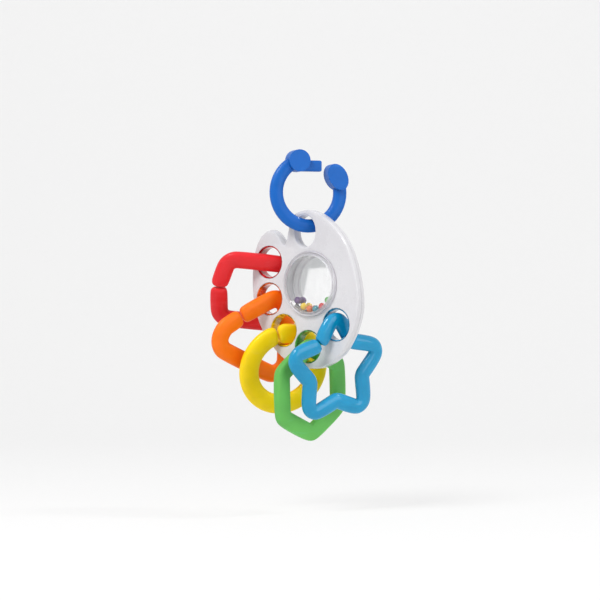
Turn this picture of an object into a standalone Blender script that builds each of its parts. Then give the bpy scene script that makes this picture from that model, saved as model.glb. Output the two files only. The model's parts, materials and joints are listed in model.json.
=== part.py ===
"""A teething rattle: a painter's palette with a mirrored bead window, five colour links and a hanging ring.

The palette stands in the XZ plane with its face to -Y. The origin is the inside top of the hanging ring.
"""

import math

import bmesh
import bpy
from mathutils import Matrix, Vector

# Driving dimensions, in metres, and angles, in degrees. The palette's height is the toy's main size, and the
# pieces keep their proportions to it, while walls and gaps stay as thick as they are.
PALETTE_HEIGHT = 0.1109
RUN_GAP = 0.0003
CUT_OVERRUN = 0.004

PALETTE_WIDTH = PALETTE_HEIGHT * 0.8494
PALETTE_THICKNESS = PALETTE_HEIGHT * 0.0775
PALETTE_WALL = 0.0016
PALETTE_RIM = PALETTE_HEIGHT * 0.0153
PALETTE_SHIFT = PALETTE_HEIGHT * 0.0478
RING_SEAT_RISE = PALETTE_HEIGHT * 0.0207

LINK_HOLE_RADIUS = PALETTE_HEIGHT * 0.0947
LINER_WALL = 0.0010
LINER_MOUTH_WIDTH = 0.0008
LINER_MOUTH_DEPTH = 0.0017
THUMB_HOLE_WIDTH = PALETTE_HEIGHT * 0.1623
THUMB_HOLE_HEIGHT = PALETTE_HEIGHT * 0.1975

DOME_RADIUS = PALETTE_HEIGHT * 0.2092
DOME_WALL = 0.0012
DOME_PROUD = PALETTE_HEIGHT * 0.0289
DOME_RIDGE = 0.0007
CHAMBER_RADIUS = PALETTE_HEIGHT * 0.1839
MIRROR_THICKNESS = 0.0009
BEAD_RADIUS = PALETTE_HEIGHT * 0.0234
BEAD_PITCH = PALETTE_HEIGHT * 0.0482

SCREW_HEAD_RADIUS = PALETTE_HEIGHT * 0.0189
SCREW_HEAD_HEIGHT = PALETTE_HEIGHT * 0.0108
SCREW_SHANK_RADIUS = PALETTE_HEIGHT * 0.0090
SCREW_LENGTH = PALETTE_HEIGHT * 0.0577
SCREW_RECESS_RADIUS = 0.0006
SCREW_RECESS_DEPTH = 0.0008
BOSS_RADIUS = PALETTE_HEIGHT * 0.0243

RING_INNER_RADIUS = PALETTE_HEIGHT * 0.1677
RING_BAR_WIDTH = PALETTE_HEIGHT * 0.0866
RING_BAR_DEPTH = PALETTE_HEIGHT * 0.0577
RING_YAW = 56
RING_START = 109
RING_END = 388
RING_ROUNDNESS = 0.85
NEAR_DISC_RADIUS = PALETTE_HEIGHT * 0.0703
FAR_DISC_WIDTH = PALETTE_HEIGHT * 0.1244
FAR_DISC_HEIGHT = PALETTE_HEIGHT * 0.1767
DISC_DEPTH = PALETTE_HEIGHT * 0.0974
DISC_BEVEL = 0.0008
TONGUE_LENGTH = PALETTE_HEIGHT * 0.1713
TONGUE_WIDTH = PALETTE_HEIGHT * 0.0703
TONGUE_DEPTH = PALETTE_HEIGHT * 0.0505
TONGUE_BEVEL = 0.0012
TONGUE_RISE = 0.0004

LINK_DEPTH = PALETTE_HEIGHT * 0.0658
LINK_SLIT = 0.0011
LINK_END_ROUNDING = PALETTE_HEIGHT * 0.0325

SQUARE_SIDE = PALETTE_HEIGHT * 0.4234
SQUARE_BAR = PALETTE_HEIGHT * 0.1172
SQUARE_CORNER = PALETTE_HEIGHT * 0.0766
TRIANGLE_SIDE = PALETTE_HEIGHT * 0.6041
TRIANGLE_BAR = PALETTE_HEIGHT * 0.1208
TRIANGLE_CORNER = PALETTE_HEIGHT * 0.0902
CIRCLE_RADIUS = PALETTE_HEIGHT * 0.2362
CIRCLE_BAR = PALETTE_HEIGHT * 0.1317
HEXAGON_RADIUS = PALETTE_HEIGHT * 0.2813
HEXAGON_BAR = PALETTE_HEIGHT * 0.1172
HEXAGON_CORNER = PALETTE_HEIGHT * 0.0595
STAR_TIP_RADIUS = PALETTE_HEIGHT * 0.3663
STAR_WAIST_RADIUS = STAR_TIP_RADIUS * 0.547
STAR_BAR = PALETTE_HEIGHT * 0.1064
STAR_CORNER = PALETTE_HEIGHT * 0.0541

# The palette's outline, clockwise from the top, as shares of its width and height from the window's centre.
PALETTE_OUTLINE_SHARES = (
    (-0.106, 0.459), (-0.032, 0.466), (0.019, 0.458), (0.091, 0.434), (0.158, 0.397), (0.225, 0.349),
    (0.287, 0.290), (0.338, 0.222), (0.379, 0.140), (0.410, 0.058), (0.432, -0.040), (0.438, -0.148),
    (0.410, -0.255), (0.352, -0.355), (0.277, -0.440), (0.186, -0.495), (0.093, -0.526), (0.000, -0.534),
    (-0.127, -0.521), (-0.255, -0.477), (-0.361, -0.403), (-0.460, -0.300), (-0.520, -0.195),
    (-0.554, -0.079), (-0.559, 0.067), (-0.538, 0.200), (-0.474, 0.308), (-0.376, 0.346), (-0.308, 0.305),
    (-0.266, 0.258), (-0.243, 0.252), (-0.228, 0.290), (-0.212, 0.350), (-0.200, 0.402), (-0.163, 0.440),
)
# Places on the palette, as shares of its width and height from the window's centre.
THUMB_HOLE_SHARES = (-0.0560, 0.3310)
SQUARE_HOLE_SHARES = (-0.3920, 0.1400)
TRIANGLE_HOLE_SHARES = (-0.3895, -0.0940)
CIRCLE_HOLE_SHARES = (-0.2525, -0.2940)
HEXAGON_HOLE_SHARES = (-0.0225, -0.3950)
STAR_HOLE_SHARES = (0.2380, -0.2560)
SCREW_SHARES = ((0.165, 0.280), (0.325, -0.020), (0.143, -0.395), (-0.215, 0.200))

MOUTH_ANGLES = (0, 45, 90)
END_ANGLES = (0, 25, 50, 90)
END_SHARE = 0.45
SCREW_CHAMFER_SHARE = 0.8
MOST_MITRE = 2
STAR_POINTS = 5
OUTLINE_STEPS = 2
RIM_STEPS = 1
HOLE_STEPS = 24
TURN_STEPS = 40
SECTION_STEPS = 12
CORNER_STEPS = {"square": 4, "triangle": 5, "hexagon": 2, "star": 3}
BEAD_NAMES = ("purple", "yellow", "orange", "teal", "red", "green")

# The extra corners of each bowed side: along it and outwards from it, as shares of that side. The slit is at
# the first one.
SQUARE_BOW_SHARES = ((0.460, 0.081),)
TRIANGLE_BOW_SHARES = ((0.570, 0.082), (0.790, 0.094))

# How each link hangs: the angle on its hole's wall where it rests, its yaw, tilt and roll, all in degrees,
# then its centre across and down from that rest in its own plane, as shares of its size.
SQUARE_POSE = (-121.7, 43.1, 25.8, -6.5, -0.1495, -0.2836)
TRIANGLE_POSE = (-97.1, 68.8, 12.3, 6.2, -0.0819, -0.2828)
CIRCLE_POSE = (-97.5, 61.6, 16.1, 4.2, 0.0027, -0.6710)
HEXAGON_POSE = (-88.5, 82.0, 5.5, 7.2, 0.0000, -0.6450)
STAR_POSE = (-105.6, 69.8, 7.8, 5.7, 0.0332, -0.5076)

# Each link: name, colour, size, bar width, how rounded its section is, where its slit is and how it hangs.
# The roundness is 1 for an oval and less for squarer sides, and the slit's place is a share of the line.
LINKS = {
    "square": ("red_square_link", "red", SQUARE_SIDE, SQUARE_BAR, 0.75, 0.012, SQUARE_POSE),
    "triangle": ("orange_triangle_link", "orange", TRIANGLE_SIDE, TRIANGLE_BAR, 0.75, 0.006, TRIANGLE_POSE),
    "circle": ("yellow_ring_link", "yellow", CIRCLE_RADIUS, CIRCLE_BAR, 0.7, 0.283, CIRCLE_POSE),
    "hexagon": ("green_hexagon_link", "green", HEXAGON_RADIUS, HEXAGON_BAR, 0.6, 0.920, HEXAGON_POSE),
    "star": ("blue_star_link", "sky_blue", STAR_TIP_RADIUS, STAR_BAR, 0.9, 0.126, STAR_POSE),
}

COLOURS = {
    "palette_white": (0.80, 0.80, 0.83, 1.0),
    "clear": (0.92, 0.94, 0.96, 1.0),
    "mirror": (0.85, 0.86, 0.88, 1.0),
    "steel": (0.55, 0.56, 0.58, 1.0),
    "royal_blue": (0.012, 0.13, 0.60, 1.0),
    "red": (0.80, 0.025, 0.035, 1.0),
    "orange": (0.95, 0.20, 0.01, 1.0),
    "yellow": (0.95, 0.66, 0.01, 1.0),
    "green": (0.12, 0.50, 0.10, 1.0),
    "sky_blue": (0.010, 0.33, 0.62, 1.0),
    "purple": (0.16, 0.05, 0.22, 1.0),
    "teal": (0.05, 0.38, 0.42, 1.0),
}
ROUGHNESS = {"palette_white": 0.25, "clear": 0.05, "mirror": 0.03, "steel": 0.35, "royal_blue": 0.35}
LINK_ROUGHNESS = 0.4

WELD = RUN_GAP / 10
UPRIGHT = Matrix.Rotation(math.radians(90), 4, "X")
WINDOW_CENTRE = Vector((
    PALETTE_SHIFT,
    0,
    RING_SEAT_RISE - 2 * RING_INNER_RADIUS - THUMB_HOLE_HEIGHT / 2 - THUMB_HOLE_SHARES[1] * PALETTE_HEIGHT,
))
FACE_Y = -PALETTE_THICKNESS / 2
BACK_Y = PALETTE_THICKNESS / 2
INNER_BACK_Y = BACK_Y - PALETTE_WALL
MIRROR_BACK_Y = INNER_BACK_Y - RUN_GAP
MIRROR_FACE_Y = MIRROR_BACK_Y - MIRROR_THICKNESS
SCREW_SEAT_Y = BACK_Y - SCREW_HEAD_HEIGHT - 2 * RUN_GAP
WINDOW_BORE_RADIUS = CHAMBER_RADIUS + DOME_WALL + RUN_GAP


def clear_scene():
    for obj in list(bpy.data.objects):
        bpy.data.objects.remove(obj, do_unlink=True)


def new_collection(name, hidden=False):
    collection = bpy.data.collections.new(name)
    bpy.context.scene.collection.children.link(collection)
    collection.hide_render = hidden
    return collection


def material(name):
    found = bpy.data.materials.get(name)
    if found:
        return found
    made = bpy.data.materials.new(name)
    made.use_nodes = True
    shader = made.node_tree.nodes["Principled BSDF"]
    shader.inputs["Base Color"].default_value = COLOURS[name]
    shader.inputs["Roughness"].default_value = ROUGHNESS.get(name, LINK_ROUGHNESS)
    shader.inputs["Metallic"].default_value = 1.0 if name in ("mirror", "steel") else 0.0
    if name == "clear":
        shader.inputs["Transmission Weight"].default_value = 1.0
    made.diffuse_color = COLOURS[name]
    return made


def finish_part(obj, colour, smooth_angle=math.radians(40)):
    """Gives a part its material and smooth shading, and files it with the parts."""
    obj.data.materials.clear()
    obj.data.materials.append(material(colour))
    obj.data.shade_smooth()
    obj.data.set_sharp_from_angle(angle=smooth_angle)
    file_under(obj, PARTS)
    return obj


def file_under(obj, collection):
    for other in list(obj.users_collection):
        other.objects.unlink(obj)
    collection.objects.link(obj)


def as_cutter(obj):
    obj.hide_render = True
    obj.display_type = "WIRE"
    file_under(obj, CUTTERS)
    return obj


def mesh_from(obj, name, weld):
    """Turns a curve object into a mesh object with its caps welded, and removes the curve."""
    bpy.context.view_layer.update()
    graph = bpy.context.evaluated_depsgraph_get()
    mesh = bpy.data.meshes.new_from_object(obj.evaluated_get(graph))
    mesh.name = name
    cleaned = bmesh.new()
    cleaned.from_mesh(mesh)
    bmesh.ops.remove_doubles(cleaned, verts=cleaned.verts, dist=weld)
    bmesh.ops.recalc_face_normals(cleaned, faces=cleaned.faces)
    cleaned.to_mesh(mesh)
    cleaned.free()
    made = bpy.data.objects.new(name, mesh)
    made.matrix_world = obj.matrix_world.copy()
    bpy.context.scene.collection.objects.link(made)
    curve = obj.data
    bpy.data.objects.remove(obj, do_unlink=True)
    bpy.data.curves.remove(curve)
    return made


def add_spline(curve, points, closed=True):
    spline = curve.splines.new("POLY")
    spline.points.add(len(points) - 1)
    for point, place in zip(spline.points, points):
        point.co = (place[0], place[1], 0, 1)
    spline.use_cyclic_u = closed
    return spline


def smooth_outline(places, steps):
    """A closed smooth line through the places, as a Catmull-Rom spline."""
    points = []
    count = len(places)
    for index in range(count):
        before, start, end, after = (Vector(places[(index + k) % count]) for k in (-1, 0, 1, 2))
        for step in range(steps):
            t = step / steps
            points.append(
                (start * 2 + (end - before) * t + (before * 2 - start * 5 + end * 4 - after) * t**2
                 + (start * 3 - before - end * 3 + after) * t**3) / 2
            )
    return points


def inset(points, distance):
    """Moves a closed line to its left by the distance: inwards, where it runs anticlockwise."""
    moved = []
    count = len(points)
    for index in range(count):
        back = (points[index] - points[index - 1]).normalized()
        ahead = (points[(index + 1) % count] - points[index]).normalized()
        side = Vector((-back.y - ahead.y, back.x + ahead.x)).normalized()
        mitre = max(side.dot(Vector((-back.y, back.x))), 1 / MOST_MITRE)
        moved.append(points[index] + side * distance / mitre)
    return moved


def round_hole(centre, radius, steps=HOLE_STEPS):
    return oval_hole(centre, radius, radius, steps)


def oval_hole(centre, half_width, half_height, steps=HOLE_STEPS):
    """Points clockwise round an oval, so that material lies outside it."""
    angles = [-2 * math.pi * step / steps for step in range(steps)]
    middle = Vector(centre)
    return [middle + Vector((half_width * math.cos(a), half_height * math.sin(a))) for a in angles]


def on_palette(shares):
    return Vector((shares[0] * PALETTE_WIDTH, shares[1] * PALETTE_HEIGHT))


def flat_plate(name, loops, thickness, rim=0):
    """A plate in the XZ plane, centred on Y, whose first loop is its edge and whose others are holes."""
    curve = bpy.data.curves.new(name, "CURVE")
    curve.dimensions = "2D"
    curve.fill_mode = "BOTH"
    curve.extrude = thickness / 2 - rim
    curve.bevel_depth = rim
    curve.bevel_resolution = RIM_STEPS
    curve.offset = -rim
    for points in loops:
        add_spline(curve, points)
    obj = bpy.data.objects.new(name + "_curve", curve)
    bpy.context.scene.collection.objects.link(obj)
    obj.matrix_world = Matrix.Translation(WINDOW_CENTRE) @ UPRIGHT
    return mesh_from(obj, name, WELD)


def bevel(obj, width, segments=2, angle=math.radians(60)):
    modifier = obj.modifiers.new("rounded_edges", "BEVEL")
    modifier.width = width
    modifier.segments = segments
    modifier.limit_method = "ANGLE"
    modifier.angle_limit = angle
    modifier.use_clamp_overlap = True
    return modifier


def cut(obj, cutter):
    modifier = obj.modifiers.new("cut_by_" + cutter.name, "BOOLEAN")
    modifier.operation = "DIFFERENCE"
    modifier.solver = "EXACT"
    modifier.object = cutter
    return modifier


def join(obj, other):
    modifier = obj.modifiers.new("joined_to_" + other.name, "BOOLEAN")
    modifier.operation = "UNION"
    modifier.solver = "EXACT"
    modifier.object = other
    return modifier


def box(name, centre, size):
    bpy.ops.mesh.primitive_cube_add(size=1, location=centre)
    obj = bpy.context.object
    obj.name = name
    obj.data.transform(Matrix.Diagonal((*size, 1)))
    return obj


def cylinder(name, centre, radius, depth, steps=TURN_STEPS):
    """A cylinder along Y."""
    bpy.ops.mesh.primitive_cylinder_add(radius=radius, depth=depth, vertices=steps, location=centre)
    obj = bpy.context.object
    obj.name = name
    obj.data.transform(UPRIGHT)
    return obj


def turned(name, profile, steps=TURN_STEPS, ring=False):
    """A body turned round the Y axis from (radius, y) pairs, front to back down its outer side."""
    mesh = bpy.data.meshes.new(name)
    edges = [(k, k + 1) for k in range(len(profile) - 1)]
    if ring:
        edges.append((len(profile) - 1, 0))
    mesh.from_pydata([(radius, 0, -y) for radius, y in profile], edges, [])
    obj = bpy.data.objects.new(name, mesh)
    bpy.context.scene.collection.objects.link(obj)
    screw = obj.modifiers.new("turn", "SCREW")
    screw.steps = steps
    screw.render_steps = steps
    screw.use_merge_vertices = True
    screw.merge_threshold = WELD
    obj.matrix_world = UPRIGHT
    return obj


def link_holes():
    """The centre of each link's hole, across and up from the window's centre."""
    return {
        "square": on_palette(SQUARE_HOLE_SHARES),
        "triangle": on_palette(TRIANGLE_HOLE_SHARES),
        "circle": on_palette(CIRCLE_HOLE_SHARES),
        "hexagon": on_palette(HEXAGON_HOLE_SHARES),
        "star": on_palette(STAR_HOLE_SHARES),
    }


def palette_loops(wall):
    """The palette's edge and thumb hole, moved into the material by the wall."""
    edge = smooth_outline([on_palette(shares) for shares in PALETTE_OUTLINE_SHARES], OUTLINE_STEPS)
    edge.reverse()
    thumb = on_palette(THUMB_HOLE_SHARES)
    hole = oval_hole(thumb, THUMB_HOLE_WIDTH / 2 + wall, THUMB_HOLE_HEIGHT / 2 + wall)
    return [inset(edge, wall), hole]


def link_hole_cutter(name, centre, wall):
    """A plug through the palette at a link hole, as wide as its liner and the wall round it."""
    radius = LINK_HOLE_RADIUS + LINER_WALL + RUN_GAP + wall
    depth = PALETTE_THICKNESS + CUT_OVERRUN
    return as_cutter(cylinder(name, at_window(centre.x, 0, centre.y), radius, depth, HOLE_STEPS))


def screw_places():
    return [on_palette(shares) for shares in SCREW_SHARES]


def at_window(x, y, z):
    """A world place from one on the palette, measured from the window's centre."""
    return WINDOW_CENTRE + Vector((x, y, z))


def cavity_cutter():
    """The hollow between the shells, which leaves the walls and the screw posts standing."""
    loops = palette_loops(PALETTE_WALL)
    for place in screw_places():
        loops.append(round_hole(place, BOSS_RADIUS, HOLE_STEPS // 2))
    cavity = as_cutter(flat_plate("cavity_cutter", loops, PALETTE_THICKNESS - 2 * PALETTE_WALL))
    for kind, centre in link_holes().items():
        cut(cavity, link_hole_cutter(f"{kind}_wall_cutter", centre, PALETTE_WALL))
    return cavity


def half_cutter(name, side):
    """A block that takes away one half of the palette, and half of the parting gap."""
    size = (PALETTE_WIDTH * 2, PALETTE_THICKNESS + CUT_OVERRUN, PALETTE_HEIGHT * 2)
    y = side * (size[1] / 2 - RUN_GAP / 2)
    return as_cutter(box(name, at_window(0, y, 0), size))


def make_shells():
    cavity = cavity_cutter()
    plugs = [link_hole_cutter(f"{kind}_hole_cutter", centre, 0) for kind, centre in link_holes().items()]
    for name, side in (("palette_front_shell", 1), ("palette_rear_shell", -1)):
        shell = flat_plate(name, palette_loops(0), PALETTE_THICKNESS, PALETTE_RIM)
        cut(shell, half_cutter(name + "_half_cutter", side))
        cut(shell, cavity)
        for plug in plugs:
            cut(shell, plug)
        if side > 0:
            bore_depth = PALETTE_WALL + 2 * CUT_OVERRUN
            bore = cylinder("window_bore_cutter", at_window(0, FACE_Y, 0), WINDOW_BORE_RADIUS, bore_depth)
            cut(shell, as_cutter(bore))
        for index, place in enumerate(screw_places()):
            cut(shell, screw_cutter(name, index, place, side))
        finish_part(shell, "palette_white")


def screw_cutter(shell_name, index, place, side):
    """The pilot hole in the front post, or the stepped clearance hole in the rear one."""
    name = f"{shell_name}_screw_cutter_{index + 1}"
    if side > 0:
        end = SCREW_SEAT_Y - SCREW_LENGTH - RUN_GAP
        depth = -end + CUT_OVERRUN
        centre = at_window(place.x, end + depth / 2, place.y)
        return as_cutter(cylinder(name, centre, SCREW_SHANK_RADIUS + RUN_GAP, depth, HOLE_STEPS // 2))
    reach = SCREW_SEAT_Y + CUT_OVERRUN
    profile = [
        (0, -CUT_OVERRUN),
        (SCREW_SHANK_RADIUS + RUN_GAP, -CUT_OVERRUN),
        (SCREW_SHANK_RADIUS + RUN_GAP, SCREW_SEAT_Y),
        (SCREW_HEAD_RADIUS + RUN_GAP, SCREW_SEAT_Y),
        (SCREW_HEAD_RADIUS + RUN_GAP, reach),
        (0, reach),
    ]
    cutter = turned(name, profile, HOLE_STEPS // 2)
    cutter.location = at_window(place.x, 0, place.y)
    return as_cutter(cutter)


def make_screws():
    head_back = SCREW_SEAT_Y + RUN_GAP + SCREW_HEAD_HEIGHT
    for index, place in enumerate(screw_places()):
        profile = [
            (0, SCREW_SEAT_Y - SCREW_LENGTH),
            (SCREW_SHANK_RADIUS / 2, SCREW_SEAT_Y - SCREW_LENGTH),
            (SCREW_SHANK_RADIUS, SCREW_SEAT_Y - SCREW_LENGTH + SCREW_SHANK_RADIUS),
            (SCREW_SHANK_RADIUS, SCREW_SEAT_Y + RUN_GAP),
            (SCREW_HEAD_RADIUS, SCREW_SEAT_Y + RUN_GAP),
            (SCREW_HEAD_RADIUS, head_back - SCREW_RECESS_DEPTH / 2),
            (SCREW_HEAD_RADIUS * SCREW_CHAMFER_SHARE, head_back),
            (SCREW_RECESS_RADIUS, head_back),
            (SCREW_RECESS_RADIUS, head_back - SCREW_RECESS_DEPTH),
            (0, head_back - SCREW_RECESS_DEPTH),
        ]
        screw = turned(f"shell_screw_{index + 1}", profile, HOLE_STEPS // 2)
        screw.location = at_window(place.x, 0, place.y)
        finish_part(screw, "steel")


def make_window():
    front = FACE_Y - DOME_PROUD
    seat = FACE_Y - RUN_GAP
    skirt_end = MIRROR_FACE_Y - RUN_GAP
    outer = CHAMBER_RADIUS + DOME_WALL
    profile = [
        (0, front),
        (CHAMBER_RADIUS - DOME_WALL, front),
        (CHAMBER_RADIUS, front + DOME_RIDGE),
        (CHAMBER_RADIUS + DOME_RIDGE, seat - DOME_WALL),
        (DOME_RADIUS - 2 * DOME_RIDGE, seat - DOME_WALL),
        (DOME_RADIUS - DOME_RIDGE, seat - DOME_WALL - DOME_RIDGE),
        (DOME_RADIUS, seat - DOME_RIDGE),
        (DOME_RADIUS, seat),
        (outer, seat),
        (outer, skirt_end),
        (CHAMBER_RADIUS, skirt_end),
        (CHAMBER_RADIUS, front + DOME_WALL),
        (0, front + DOME_WALL),
    ]
    dome = turned("window_dome", profile)
    dome.location = WINDOW_CENTRE
    finish_part(dome, "clear")
    depth = MIRROR_BACK_Y - MIRROR_FACE_Y
    middle = (MIRROR_BACK_Y + MIRROR_FACE_Y) / 2
    mirror = cylinder("mirror_disc", at_window(0, middle, 0), CHAMBER_RADIUS + DOME_WALL, depth)
    finish_part(mirror, "mirror")


def make_liners():
    """A coloured sleeve in each link hole, flush with both faces, with rounded mouths."""
    half = PALETTE_THICKNESS / 2
    outer = LINK_HOLE_RADIUS + LINER_WALL
    mouth = [
        (
            LINK_HOLE_RADIUS + LINER_MOUTH_WIDTH * (1 - math.sin(math.radians(angle))),
            half - LINER_MOUTH_DEPTH * (1 - math.cos(math.radians(angle))),
        )
        for angle in MOUTH_ANGLES
    ]
    front_mouth = [(radius, -y) for radius, y in reversed(mouth)]
    profile = [(outer, -half), (outer, half), *mouth, *front_mouth]
    for kind, centre in link_holes().items():
        name, colour = LINKS[kind][:2]
        liner = turned(f"{name.split('_')[0]}_hole_liner", profile, HOLE_STEPS, ring=True)
        liner.location = at_window(centre.x, 0, centre.y)
        finish_part(liner, colour)


def bead_places():
    """Each bead's centre from the window's centre, resting on the chamber's wall beside its neighbour."""
    reach = CHAMBER_RADIUS - BEAD_RADIUS - RUN_GAP / 2
    depth = MIRROR_FACE_Y - RUN_GAP - BEAD_RADIUS
    count = len(BEAD_NAMES)
    places = []
    for index in range(count):
        across = BEAD_PITCH * (index - (count - 1) / 2)
        places.append(Vector((across, depth, -math.sqrt(reach**2 - across**2))))
    return places


def make_beads():
    for colour, place in zip(BEAD_NAMES, bead_places()):
        bpy.ops.mesh.primitive_uv_sphere_add(
            segments=12, ring_count=8, radius=BEAD_RADIUS, location=WINDOW_CENTRE + place
        )
        bead = bpy.context.object
        bead.name = f"bead_{colour}"
        finish_part(bead, colour)


def rounded_corners(corners, radius, steps):
    """A closed line round the corners, each turned by an arc of the radius."""
    points = []
    count = len(corners)
    for index in range(count):
        corner = Vector(corners[index])
        back = (Vector(corners[index - 1]) - corner).normalized()
        ahead = (Vector(corners[(index + 1) % count]) - corner).normalized()
        half = math.acos(max(-1, min(1, back.dot(ahead)))) / 2
        centre = corner + (back + ahead).normalized() * radius / math.sin(half)
        start = corner + back * radius / math.tan(half) - centre
        end = corner + ahead * radius / math.tan(half) - centre
        turn = math.pi - 2 * half
        for step in range(steps + 1):
            share = step / steps
            arc = (start * math.sin((1 - share) * turn) + end * math.sin(share * turn)) / math.sin(turn)
            points.append(centre + arc)
    return points


def regular_corners(count, radius, start):
    """Corners of a regular shape, anticlockwise from the start angle, in degrees."""
    angles = [math.radians(start + 360 * k / count) for k in range(count)]
    return [(radius * math.cos(a), radius * math.sin(a)) for a in angles]


def star_corners(tip_radius, waist_radius, start):
    corners = []
    for index in range(2 * STAR_POINTS):
        radius = waist_radius if index % 2 else tip_radius
        angle = math.radians(start) + math.pi * index / STAR_POINTS
        corners.append((radius * math.cos(angle), radius * math.sin(angle)))
    return corners


def opened(points, share, slit):
    """The closed line, opened by a slit whose middle is at the share of its length, with narrowed ends."""
    count = len(points)
    lengths = [(points[(k + 1) % count] - points[k]).length for k in range(count)]
    total = sum(lengths)

    def along(distance):
        distance %= total
        for index in range(count):
            if distance <= lengths[index]:
                step = points[(index + 1) % count] - points[index]
                return points[index] + step * (distance / lengths[index])
            distance -= lengths[index]
        return points[0]

    first = share * total + slit / 2
    last = share * total + total - slit / 2
    starts = [sum(lengths[:k]) for k in range(count)]
    inner = sorted(start + lap * total for start in starts for lap in (0, 1, 2))
    inner = [d for d in inner if first + LINK_END_ROUNDING < d < last - LINK_END_ROUNDING]
    ends = [LINK_END_ROUNDING * (1 - math.cos(math.radians(a))) for a in END_ANGLES]
    radii = [END_SHARE + (1 - END_SHARE) * math.sin(math.radians(a)) for a in END_ANGLES]
    distances = [first + d for d in ends] + inner + [last - d for d in reversed(ends)]
    scales = radii + [1] * len(inner) + radii[::-1]
    return [(along(d), scale) for d, scale in zip(distances, scales)]


def oval_section(half_width, half_depth, roundness):
    """A rounded box section: the roundness is 1 for an ellipse, and less for squarer sides."""
    points = []
    for index in range(SECTION_STEPS):
        angle = 2 * math.pi * (index + 0.5) / SECTION_STEPS
        x, y = math.cos(angle), math.sin(angle)
        points.append(Vector((
            half_width * math.copysign(abs(x) ** roundness, x),
            half_depth * math.copysign(abs(y) ** roundness, y),
        )))
    return points


def swept(name, section, path, closed=False):
    """A bar of the section along a path of (place, scale) in the XY plane, made a mesh."""
    outline = bpy.data.curves.new(name + "_section", "CURVE")
    outline.dimensions = "2D"
    outline.fill_mode = "NONE"
    add_spline(outline, section)
    shape = bpy.data.objects.new(name + "_section", outline)
    CUTTERS.objects.link(shape)
    curve = bpy.data.curves.new(name, "CURVE")
    curve.dimensions = "3D"
    curve.twist_mode = "Z_UP"
    curve.bevel_mode = "OBJECT"
    curve.bevel_object = shape
    curve.use_fill_caps = not closed
    spline = add_spline(curve, [place for place, _ in path], closed)
    for point, (_, scale) in zip(spline.points, path):
        point.radius = scale
    obj = bpy.data.objects.new(name + "_curve", curve)
    bpy.context.scene.collection.objects.link(obj)
    made = mesh_from(obj, name, WELD)
    bpy.data.objects.remove(shape, do_unlink=True)
    return made


def stand(obj, pivot, yaw, tilt):
    """Stands a shape made in the XY plane upright at its pivot, turned by its yaw and leaned by its tilt."""
    turn = Matrix.Rotation(math.radians(yaw), 4, "Z") @ Matrix.Rotation(math.radians(tilt), 4, "X")
    obj.matrix_world = Matrix.Translation(pivot) @ turn @ UPRIGHT


def bowed(corners, side, bow_shares):
    """Adds corners to one side, moved along it and outwards by shares of it, and starts the line there."""
    start, end = Vector(corners[side]), Vector(corners[(side + 1) % len(corners)])
    along = end - start
    extra = [start + along * share + Vector((along.y, -along.x)) * bow for share, bow in bow_shares]
    return [*extra, *corners[side + 1:], *corners[:side + 1]]


def link_lines():
    """Each link's closed centre line, in its own plane and before its roll."""
    square = bowed(regular_corners(4, SQUARE_SIDE / math.sqrt(2), 45), 1, SQUARE_BOW_SHARES)
    triangle = bowed(regular_corners(3, TRIANGLE_SIDE / math.sqrt(3), 60), 0, TRIANGLE_BOW_SHARES)
    hexagon = regular_corners(6, HEXAGON_RADIUS, 90)
    star = star_corners(STAR_TIP_RADIUS, STAR_WAIST_RADIUS, 90)
    return {
        "square": rounded_corners(square, SQUARE_CORNER, CORNER_STEPS["square"]),
        "triangle": rounded_corners(triangle, TRIANGLE_CORNER, CORNER_STEPS["triangle"]),
        "circle": [Vector(corner) for corner in regular_corners(TURN_STEPS, CIRCLE_RADIUS, 0)],
        "hexagon": rounded_corners(hexagon, HEXAGON_CORNER, CORNER_STEPS["hexagon"]),
        "star": rounded_corners(star, STAR_CORNER, CORNER_STEPS["star"]),
    }


def make_links():
    lines = link_lines()
    holes = link_holes()
    for kind, (name, colour, size, bar, roundness, slit_share, pose) in LINKS.items():
        wall_angle, yaw, tilt, roll, across_share, down_share = pose
        turn = Matrix.Rotation(math.radians(roll), 2)
        centre = Vector((across_share, down_share)) * size
        line = [turn @ point + centre for point in lines[kind]]
        section = oval_section(bar / 2, LINK_DEPTH / 2, roundness)
        link = swept(name, section, opened(line, slit_share, LINK_SLIT))
        angle = math.radians(wall_angle)
        rest = holes[kind] + Vector((math.cos(angle), math.sin(angle))) * LINK_HOLE_RADIUS
        stand(link, at_window(rest.x, 0, rest.y), yaw, tilt)
        finish_part(link, colour)


def disc(name, centre, half_width, half_height, degrees):
    """An oval disc in the XY plane for joining to the ring, turned anticlockwise by the degrees."""
    curve = bpy.data.curves.new(name, "CURVE")
    curve.dimensions = "2D"
    curve.fill_mode = "BOTH"
    curve.extrude = DISC_DEPTH / 2
    turn = Matrix.Rotation(math.radians(degrees), 2)
    points = [centre + turn @ point for point in oval_hole((0, 0), half_width, half_height)]
    add_spline(curve, points[::-1])
    obj = bpy.data.objects.new(name + "_curve", curve)
    bpy.context.scene.collection.objects.link(obj)
    return mesh_from(obj, name, WELD)


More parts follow.
